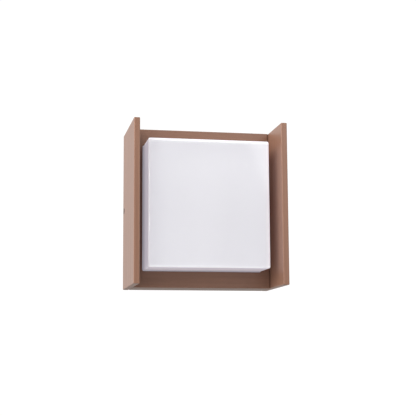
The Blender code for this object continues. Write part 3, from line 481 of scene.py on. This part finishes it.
def add_piece(name, bm, body, look, nodes, location=(0, 0, 0), direction=None):
    """Turn a bmesh into a shown piece that rides on a body and stands for CAD nodes."""
    bmesh.ops.recalc_face_normals(bm, faces=bm.faces)
    mesh = bpy.data.meshes.new(name)
    bm.to_mesh(mesh)
    bm.free()
    shade(mesh)
    mesh.materials.append(LOOKS[look])
    obj = bpy.data.objects.new(name, mesh)
    bpy.context.scene.collection.objects.link(obj)
    obj.location = location
    if direction:
        obj.rotation_euler = Vector(direction).to_track_quat("Z", "Y").to_euler()
    obj.modifiers.new("flat_faces", "WEIGHTED_NORMAL").keep_sharp = True
    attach(obj, body)
    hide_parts(*nodes)
    return obj


def add_turned(name, profile, body, look, nodes, location, direction=None, closed=False):
    """Add a piece turned about its own Z axis."""
    bm = bmesh.new()
    lathe(bm, profile, closed=closed)
    return add_piece(name, bm, body, look, nodes, location, direction)


def combine(target, operation, bm, look=None):
    """Join a bmesh to a piece, or cut it away, which leaves faces with the look given."""
    bmesh.ops.recalc_face_normals(bm, faces=bm.faces)
    mesh = bpy.data.meshes.new("tool")
    bm.to_mesh(mesh)
    bm.free()
    mesh.materials.append(LOOKS[look] if look else target.data.materials[0])
    tool = bpy.data.objects.new("tool", mesh)
    tool.matrix_world = target.matrix_world
    bpy.context.scene.collection.objects.link(tool)
    modifier = target.modifiers.new("combine", "BOOLEAN")
    modifier.operation = operation
    modifier.solver = "EXACT"
    modifier.material_mode = "TRANSFER"
    modifier.object = tool
    bpy.context.view_layer.update()
    target.modifiers["flat_faces"].show_viewport = False
    depsgraph = bpy.context.evaluated_depsgraph_get()
    result = bpy.data.meshes.new_from_object(target.evaluated_get(depsgraph), depsgraph=depsgraph)
    shade(result)
    target.data = result
    target.modifiers.remove(modifier)
    target.modifiers["flat_faces"].show_viewport = True
    bpy.data.objects.remove(tool)


def middle(node):
    """The middle of a CAD node's box."""
    low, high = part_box(node)
    return (low + high) / 2


# ---------------------------------------------------------------- cover

def edge_rings(half_x, half_z, corner, face_y, radius, steps):
    """Rings for loft that round the edge from the sides to a face at face_y."""
    rings = []
    for depth, drop in arc((0.0, 0.0), radius, 0, 90, steps):
        inset = radius - depth
        reach = max(corner - inset, SMALLEST_CORNER)
        rings.append((half_x - inset, half_z - inset, reach, face_y + radius - drop))
    return rings


def make_housing():
    """The open box behind the diffuser, with its screw bosses and holes."""
    low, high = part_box("back_housing")
    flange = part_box("diffuser")[1]
    window_x = flange.x - FLANGE_WIDTH + WINDOW_CLEARANCE
    window_z = flange.z - FLANGE_WIDTH + WINDOW_CLEARANCE
    web_rear = low.y + HOUSING_WALL
    inner_x, inner_z = high.x - HOUSING_WALL, high.z - HOUSING_WALL
    bm = bmesh.new()
    loft(bm, [
        (high.x, high.z, HOUSING_CORNER, high.y),
        *edge_rings(high.x, high.z, HOUSING_CORNER, low.y, PANEL_EDGE, 4),
        (window_x + GAP, window_z + GAP, DIFFUSER_EDGE, low.y),
        (window_x, window_z, DIFFUSER_EDGE, low.y + GAP),
        (window_x, window_z, DIFFUSER_EDGE, web_rear),
        (inner_x, inner_z, HOUSING_INNER_CORNER, web_rear),
        (inner_x, inner_z, HOUSING_INNER_CORNER, high.y),
    ])
    housing = add_piece("housing_shell", bm, "cover", "brown_level_painted_shade", ["back_housing"])
    bosses, holes = bmesh.new(), bmesh.new()
    for number in range(1, 7):
        x, _, z = middle(f"clamp_screw_{number}")
        add_cylinder(bosses, (x, web_rear - OVERRUN, z), (x, flange.y, z), BOSS_RADIUS)
        start, end = (x, web_rear - OVERRUN, z), (x, flange.y + OVERRUN, z)
        add_cylinder(holes, start, end, CLAMP_SCREW_HOLE_RADIUS)
    for side in (-1, 1):
        near, far = side * (inner_x - OVERRUN), side * (high.x + OVERRUN)
        _, y, _ = middle("side_screw_left")
        add_cylinder(holes, (near, y, 0), (far, y, 0), SIDE_SCREW_HOLE_RADIUS)
        for number in range(1, 5):
            _, y, z = middle(f"panel_screw_left_{number}")
            add_cylinder(holes, (near, y, z), (far, y, z), PANEL_SCREW_HOLE_RADIUS)
    combine(housing, "UNION", bosses)
    combine(housing, "DIFFERENCE", holes)


def make_panel(side, word):
    """One side panel with finely rounded edges; side is -1 for left and 1 for right."""
    node = f"side_panel_{word}"
    low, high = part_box(node)
    bm = bmesh.new()
    bmesh.ops.create_cube(bm, size=1.0)
    bmesh.ops.scale(bm, vec=high - low, verts=bm.verts)
    bmesh.ops.bevel(
        bm, geom=list(bm.edges), offset=PANEL_EDGE, segments=4, profile=0.5, affect="EDGES"
    )
    bmesh.ops.translate(bm, vec=(low + high) / 2, verts=bm.verts)
    panel = add_piece(f"panel_{word}", bm, "cover", "brown_vertical", [node])
    inner = low.x if side > 0 else high.x
    holes = bmesh.new()
    for number in range(1, 5):
        _, y, z = middle(f"panel_screw_{word}_{number}")
        start = (inner - side * OVERRUN, y, z)
        end = (inner + side * PANEL_SCREW_HOLE_DEPTH, y, z)
        add_cylinder(holes, start, end, PANEL_SCREW_HOLE_RADIUS)
    combine(panel, "DIFFERENCE", holes)
    bore = bmesh.new()
    depth, mouth = high.x - low.x, SIDE_SCREW_HOLE_RADIUS + BORE_CHAMFER
    lathe(bore, [
        (0.0, -OVERRUN),
        (SIDE_SCREW_HOLE_RADIUS, -OVERRUN),
        (SIDE_SCREW_HOLE_RADIUS, depth - BORE_CHAMFER),
        (mouth, depth),
        (mouth, depth + OVERRUN),
        (0.0, depth + OVERRUN),
    ])
    turn = Vector((side, 0, 0)).to_track_quat("Z", "Y").to_matrix().to_4x4()
    bore.transform(Matrix.Translation((inner, *middle(f"side_screw_{word}").yz)) @ turn)
    # The bore's walls take a near-black look: painted shade inside the hole
    combine(panel, "DIFFERENCE", bore, "bore_painted_shade")


def make_diffuser():
    """The opal box with a flange round its open rear; the faces inside it take a darker copy of the
    opal with a weaker painted glow, which is painted shade.
    """
    low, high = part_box("diffuser")
    half_x, half_z = high.x - FLANGE_WIDTH, high.z - FLANGE_WIDTH
    inner_x, inner_z, edge = half_x - DIFFUSER_WALL, half_z - DIFFUSER_WALL, DIFFUSER_INNER_EDGE
    flange_front, inner_front = high.y - DIFFUSER_WALL, low.y + DIFFUSER_WALL
    bm = bmesh.new()
    loft(bm, [
        (inner_x - edge, inner_z - edge, edge / 2, inner_front),
        (inner_x, inner_z, edge, inner_front + edge),
        (inner_x, inner_z, edge, high.y),
        (high.x, high.z, DIFFUSER_EDGE, high.y),
        (high.x, high.z, DIFFUSER_EDGE, flange_front),
        (half_x, half_z, DIFFUSER_EDGE, flange_front),
        *edge_rings(half_x, half_z, DIFFUSER_EDGE, low.y, DIFFUSER_EDGE, 8),
    ], closed=False)
    shell = add_piece("diffuser_shell", bm, "cover", "opal_plastic", ["diffuser"])
    # Faces inside the box take the darker copy of the opal, as painted shade
    shell.data.materials.append(LOOKS["opal_inside_painted_shade"])
    for face in shell.data.polygons:
        x, y, z = face.center
        painted_shade_face = abs(x) < inner_x + GAP and abs(z) < inner_z + GAP and y > inner_front - GAP
        face.material_index = int(painted_shade_face)


def make_side_screw(side, word):
    """A threaded grub screw with a hexagon socket outside and a plain dog end inside."""
    node = f"side_screw_{word}"
    low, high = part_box(node)
    length, crest, edge = high.x - low.x, high.z, GRUB_EDGE
    root = crest - edge
    profile = [(0.0, 0.0), (DOG_RADIUS - edge, 0.0), (DOG_RADIUS, edge), (DOG_RADIUS, DOG_LENGTH)]
    for turn in range(GRUB_TURNS):
        z = DOG_LENGTH + 2 * edge + turn * GRUB_PITCH
        profile += [(root, z), (crest, z + GRUB_PITCH * 0.4), (root, z + GRUB_PITCH * 0.8)]
    profile += [
        (crest, length - 2 * edge),
        (root, length),
        (GRUB_SOCKET_RADIUS * SOCKET_RIM, length),
        (hexagon(GRUB_SOCKET_RADIUS), length - edge * 2 / 3),
        (hexagon(GRUB_SOCKET_RADIUS), length - GRUB_SOCKET_DEPTH),
        (0.0, length - GRUB_SOCKET_DEPTH - edge),
    ]
    place = (low.x if side > 0 else high.x, *middle(node).yz)
    add_turned(f"grub_screw_{word}", profile, node, "screw_steel", [node], place, (side, 0, 0))


# ---------------------------------------------------------------- small parts

def make_screw(node, body, direction, sizes):
    """A pan-head screw with a hexagon socket; direction points out of its head."""
    shank, height, socket, depth = sizes
    low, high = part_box(node)
    axis = max(range(3), key=lambda i: abs(direction[i]))
    size = high - low
    place = (low + high) / 2
    place[axis] = high[axis] - height if direction[axis] > 0 else low[axis] + height
    head = size[(axis + 1) % 3] / 2
    tip, edge = height - size[axis], SCREW_EDGE
    profile = [
        (0.0, tip),
        (shank - edge, tip),
        (shank, tip + edge),
        (shank, 0.0),
        (head - edge / 2, 0.0),
        (head, edge / 2),
        (head, height * 0.55),
        (head * 0.94, height * 0.82),
        (head * 0.80, height),
        (socket * SOCKET_RIM, height),
        (hexagon(socket), height - edge / 2),
        (hexagon(socket), height - depth),
        (0.0, height - depth - edge * 2 / 3),
    ]
    add_turned(f"{node}_detail", profile, body, "screw_steel", [node], place, direction)


def make_screws():
    """All pan-head screws: those of the clamp frame, terminals, panels, brackets, holder and earth."""
    for number in range(1, 7):
        make_screw(f"clamp_screw_{number}", "cover", (0, 1, 0), SMALL_SCREW)
        make_screw(f"terminal_screw_{number}", "wall_base", (0, -1, 0), TERMINAL_SCREW)
    for number in range(1, 5):
        make_screw(f"panel_screw_left_{number}", "cover", (1, 0, 0), LARGE_SCREW)
        make_screw(f"panel_screw_right_{number}", "cover", (-1, 0, 0), LARGE_SCREW)
    for number in (1, 2):
        make_screw(f"terminal_fixing_screw_{number}", "wall_base", (0, -1, 0), SMALL_SCREW)
        make_screw(f"holder_bracket_screw_{number}", "wall_base", (0, -1, 0), SMALL_SCREW)
        make_screw(f"holder_screw_{number}", "wall_base", (0, 0, -1), SMALL_SCREW)
    make_screw("earth_screw", "wall_base", (0, -1, 0), LARGE_SCREW)


def make_grommet():
    """The soft ring in the bracket's cable hole: a sleeve with a flange in front."""
    low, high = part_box("cable_grommet")
    place = middle("cable_grommet")
    place.y = high.y
    flange, depth = high.x - place.x, high.y - low.y
    profile = rounded([
        (GROMMET_BORE_RADIUS, 0.0),
        (GROMMET_SLEEVE_RADIUS, 0.0),
        (GROMMET_SLEEVE_RADIUS, depth - GROMMET_FLANGE_THICKNESS),
        (flange, depth - GROMMET_FLANGE_THICKNESS),
        (flange, depth),
        (GROMMET_BORE_RADIUS, depth),
    ], GROMMET_EDGE, steps=4, closed=True)
    nodes = ["cable_grommet"]
    add_turned("grommet", profile, "wall_base", "black_rubber", nodes, place, (0, -1, 0), True)


def make_holder():
    """The porcelain lampholder, with wire entries and screw holes, and its threaded sleeve."""
    low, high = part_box("lampholder")
    axis = middle("lampholder")
    radius, step = high.x, HOLDER_STEP
    axis.z = 0.0
    profile = rounded([
        (0.0, low.z),
        (radius - 2 * step, low.z),
        (radius - step, low.z + step),
        (radius - step, HOLDER_FLOOR - step),
        (radius, HOLDER_FLOOR),
        (radius, high.z - step),
        (radius - step, high.z),
        (HOLDER_CAVITY_RADIUS, high.z),
        (HOLDER_CAVITY_RADIUS, HOLDER_FLOOR),
        (0.0, HOLDER_FLOOR),
    ], HOLDER_EDGE, steps=4)
    holder = add_turned("porcelain_holder", profile, "wall_base", "ceramic", ["lampholder"], axis)
    screw_x = middle("holder_screw_2").x
    holes = bmesh.new()
    for side in (-1, 1):
        start = (side * WIRE_ENTRY_X, radius - WIRE_ENTRY_DEPTH, WIRE_ENTRY_Z)
        end = (side * WIRE_ENTRY_X, radius + OVERRUN, WIRE_ENTRY_Z)
        add_cylinder(holes, start, end, WIRE_ENTRY_RADIUS)
        start = (side * screw_x, 0.0, low.z - OVERRUN)
        end = (side * screw_x, 0.0, low.z + HOLDER_SCREW_REACH)
        add_cylinder(holes, start, end, CLAMP_SCREW_HOLE_RADIUS)
    combine(holder, "DIFFERENCE", holes)
    low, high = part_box("thread_sleeve")
    outer, inner = high.x, high.x - SLEEVE_WALL
    start, end = low.z + SLEEVE_THREAD_ENDS[0], high.z - SLEEVE_THREAD_ENDS[1]
    profile = [(SLEEVE_LIP_RADIUS, low.z), (outer, low.z)]
    profile += thread(outer, SLEEVE_THREAD, start, end)
    profile += [(outer, high.z), (inner, high.z)]
    profile += reversed(thread(inner, SLEEVE_THREAD, start, end))
    profile += [(inner, low.z + SLEEVE_WALL), (SLEEVE_LIP_RADIUS, low.z + SLEEVE_WALL)]
    add_turned("lamp_sleeve", profile, "wall_base", "nickel", ["thread_sleeve"], axis, None, True)


def make_lamp():
    """The screw-in lamp: contact, insulator, threaded cap, flared body and frosted globe."""
    axis = middle("lamp_globe")
    axis.z = 0.0
    low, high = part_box("lamp_contact")
    profile = [(0.0, low.z), (high.x * 0.55, low.z), (high.x, middle("lamp_contact").z)]
    profile = rounded([*profile, (high.x, high.z), (0.0, high.z)], LAMP_FOOT_EDGE, 4)
    add_turned("foot_contact", profile, "lamp_foot", "nickel", ["lamp_contact"], axis)
    tip = high.x
    low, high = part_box("lamp_insulator")
    profile = [(0.0, low.z), (tip + 2 * GAP, low.z), (high.x, high.z - 2 * GAP)]
    profile = rounded([*profile, (high.x, high.z), (0.0, high.z)], LAMP_FOOT_EDGE, 4)
    add_turned("foot_insulator", profile, "lamp_foot", "insulator", ["lamp_insulator"], axis)
    low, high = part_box("lamp_cap")
    mean = high.x - CAP_THREAD
    start, end = low.z + CAP_THREAD_ENDS[0], high.z - CAP_THREAD_ENDS[1]
    profile = [(0.0, low.z), (high.x - CAP_FOOT_INSET, low.z), (mean, start)]
    profile += thread(mean, CAP_THREAD, start, end)
    profile += [(high.x, end + 0.0002), (high.x, high.z), (0.0, high.z)]
    add_turned("threaded_cap", profile, "lamp", "nickel", ["lamp_cap"], axis)
    low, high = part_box("lamp_body")
    profile = [(0.0, low.z)] + [(radius, low.z + rise) for radius, rise in LAMP_BODY_FLARE]
    profile += [(high.x, high.z - 0.001), (high.x, high.z), (0.0, high.z)]
    profile = rounded(profile, LAMP_BODY_EDGE, 6)
    add_turned("lamp_housing", profile, "lamp", "lamp_plastic", ["lamp_body"], axis)
    low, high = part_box("lamp_globe")
    radius = high.x
    centre = high.z - radius
    inner = radius - GLOBE_WALL
    first, last = (math.degrees(math.asin((low.z - centre) / r)) for r in (radius, inner))
    profile = [(0.0, centre + inner)] + arc((0.0, centre), inner, 90, last, 20)[1:]
    profile += arc((0.0, centre), radius, first, 90, 24)[:-1] + [(0.0, high.z)]
    add_turned("frosted_globe", profile, "lamp", "lamp_globe", ["lamp_globe"], axis)


# ---------------------------------------------------------------- CAD nodes that stay

# Each node's look, and the width of its round edges
KEPT = {
    "diffuser_clamp_frame": ("zinc_steel", 0.0002),
    "diffuser_gasket": ("black_rubber", 0.0002),
    "wall_gasket": ("black_rubber", 0.0004),
    "wall_bracket": ("zinc_steel", 0.0003),
    "holder_bracket": ("zinc_steel", 0.0003),
    "earth_lug": ("zinc_steel", 0.00015),
    "terminal_block": ("terminal_plastic", 0.0003),
    "terminal_insert_1": ("brass", 0.00015),
    "terminal_insert_2": ("brass", 0.00015),
    "terminal_insert_3": ("brass", 0.00015),
    "centre_contact": ("brass", 0.0001),
    "wire_live": ("wire_brown", 0.0001),
    "wire_neutral": ("wire_blue", 0.0001),
    "wire_earth": ("wire_green", 0.0001),
}


def smoothing_group():
    """Geometry nodes that weld a faceted mesh and shade it smooth, apart from its sharp edges."""
    group = bpy.data.node_groups.new("weld_and_smooth", "GeometryNodeTree")
    group.interface.new_socket("Geometry", in_out="INPUT", socket_type="NodeSocketGeometry")
    group.interface.new_socket("Geometry", in_out="OUTPUT", socket_type="NodeSocketGeometry")
    start, weld, faces, edges, end = (group.nodes.new(kind) for kind in (
        "NodeGroupInput",
        "GeometryNodeMergeByDistance",
        "GeometryNodeSetShadeSmooth",
        "GeometryNodeSetShadeSmooth",
        "NodeGroupOutput",
    ))
    chain = [start, weld, faces, edges, end]
    for first, second in zip(chain, chain[1:]):
        group.links.new(first.outputs[0], second.inputs[0])
    weld.inputs["Distance"].default_value = WELD_DISTANCE
    edges.domain = "EDGE"
    angle = group.nodes.new("GeometryNodeInputMeshEdgeAngle")
    below = group.nodes.new("FunctionNodeCompare")
    below.data_type = "FLOAT"
    below.operation = "LESS_THAN"
    below.inputs[1].default_value = SHARP_ANGLE
    group.links.new(angle.outputs[0], below.inputs[0])
    group.links.new(below.outputs[0], edges.inputs["Shade Smooth"])
    return group


def dress_kept_nodes():
    """Give each CAD node that stays its material, smooth shading and narrow round edges."""
    group = smoothing_group()
    for name, (look, width) in KEPT.items():
        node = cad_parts[name]
        node.data.materials.clear()
        node.data.materials.append(LOOKS[look])
        node.modifiers.new("weld_and_smooth", "NODES").node_group = group
        bevel = node.modifiers.new("edge_round", "BEVEL")
        bevel.width = width
        bevel.segments = 2
        bevel.limit_method = "ANGLE"
        bevel.angle_limit = SHARP_ANGLE
        bevel.harden_normals = True


# ---------------------------------------------------------------- camera, light, floor

def make_camera():
    """The camera, from its place and its yaw, pitch and roll."""
    data = bpy.data.cameras.new("camera")
    data.sensor_width = SENSOR
    data.lens = LENS
    camera = bpy.data.objects.new("camera", data)
    ahead = Vector((math.sin(CAMERA_YAW), math.cos(CAMERA_YAW), 0.0))
    forward = ahead * math.cos(CAMERA_PITCH) + Vector((0.0, 0.0, math.sin(CAMERA_PITCH)))
    level = Vector((math.cos(CAMERA_YAW), -math.sin(CAMERA_YAW), 0.0))
    upright = level.cross(forward)
    right = level * math.cos(CAMERA_ROLL) + upright * math.sin(CAMERA_ROLL)
    up = upright * math.cos(CAMERA_ROLL) - level * math.sin(CAMERA_ROLL)
    turn = Matrix((right, up, -forward)).transposed().to_4x4()
    camera.matrix_world = Matrix.Translation(CAMERA_PLACE) @ turn
    bpy.context.scene.collection.objects.link(camera)
    bpy.context.scene.camera = camera
    bpy.context.scene.view_settings.view_transform = "Standard"


def make_softboxes():
    """Large area lamps that face the lantern's middle."""
    target = (cad_box[0] + cad_box[1]) / 2
    for name, place, (width, height), turn, power in SOFTBOXES:
        light = bpy.data.lights.new(name, "AREA")
        light.shape = "RECTANGLE"
        light.size = width
        light.size_y = height
        light.energy = power
        lamp = bpy.data.objects.new(name, light)
        lamp.location = place
        facing = (Vector(place) - target).to_track_quat("Z", "Y")
        lamp.rotation_euler = (facing @ Quaternion((0, 0, 1), math.radians(turn))).to_euler()
        bpy.context.scene.collection.objects.link(lamp)


def make_surroundings():
    """A white studio that is brighter in some directions, and a pale round floor far below."""
    world = bpy.data.worlds.new("white_studio")
    bpy.context.scene.world = world
    world.use_nodes = True
    tree = world.node_tree
    direction = tree.nodes.new("ShaderNodeTexCoord").outputs["Generated"]
    total = None
    for axis, strength in SKY:
        along = tree.nodes.new("ShaderNodeVectorMath")
        along.operation = "DOT_PRODUCT"
        along.inputs[1].default_value = axis
        tree.links.new(direction, along.inputs[0])
        above = tree.nodes.new("ShaderNodeMath")
        above.operation = "MAXIMUM"
        above.inputs[1].default_value = 0.0
        tree.links.new(along.outputs["Value"], above.inputs[0])
        add = tree.nodes.new("ShaderNodeMath")
        add.operation = "MULTIPLY_ADD"
        add.inputs[1].default_value = strength
        add.inputs[2].default_value = AMBIENT
        tree.links.new(above.outputs[0], add.inputs[0])
        if total:
            tree.links.new(total, add.inputs[2])
        total = add.outputs[0]
    glow = tree.nodes["Background"]
    tree.links.new(total, glow.inputs["Strength"])
    glow.inputs["Color"].default_value = (1.0, 1.0, 1.0, 1.0)
    white = tree.nodes.new("ShaderNodeBackground")
    white.inputs["Color"].default_value = (1.0, 1.0, 1.0, 1.0)
    white.inputs["Strength"].default_value = BACKDROP
    path = tree.nodes.new("ShaderNodeLightPath")
    blend = tree.nodes.new("ShaderNodeMixShader")
    tree.links.new(path.outputs["Is Camera Ray"], blend.inputs[0])
    tree.links.new(glow.outputs[0], blend.inputs[1])
    tree.links.new(white.outputs[0], blend.inputs[2])
    tree.links.new(blend.outputs[0], tree.nodes["World Output"].inputs["Surface"])
    bm = bmesh.new()
    bmesh.ops.create_circle(bm, cap_ends=True, segments=96, radius=FLOOR_RADIUS)
    mesh = bpy.data.meshes.new("floor")
    bm.to_mesh(mesh)
    bm.free()
    mesh.materials.append(PALE_FLOOR)
    floor = bpy.data.objects.new("floor", mesh)
    floor.location = (0.0, 0.0, FLOOR_Z)
    bpy.context.scene.collection.objects.link(floor)


make_camera()
make_softboxes()
make_surroundings()
make_housing()
make_panel(-1, "left")
make_panel(1, "right")
make_diffuser()
make_side_screw(-1, "left")
make_side_screw(1, "right")
make_screws()
make_grommet()
make_holder()
make_lamp()
dress_kept_nodes()
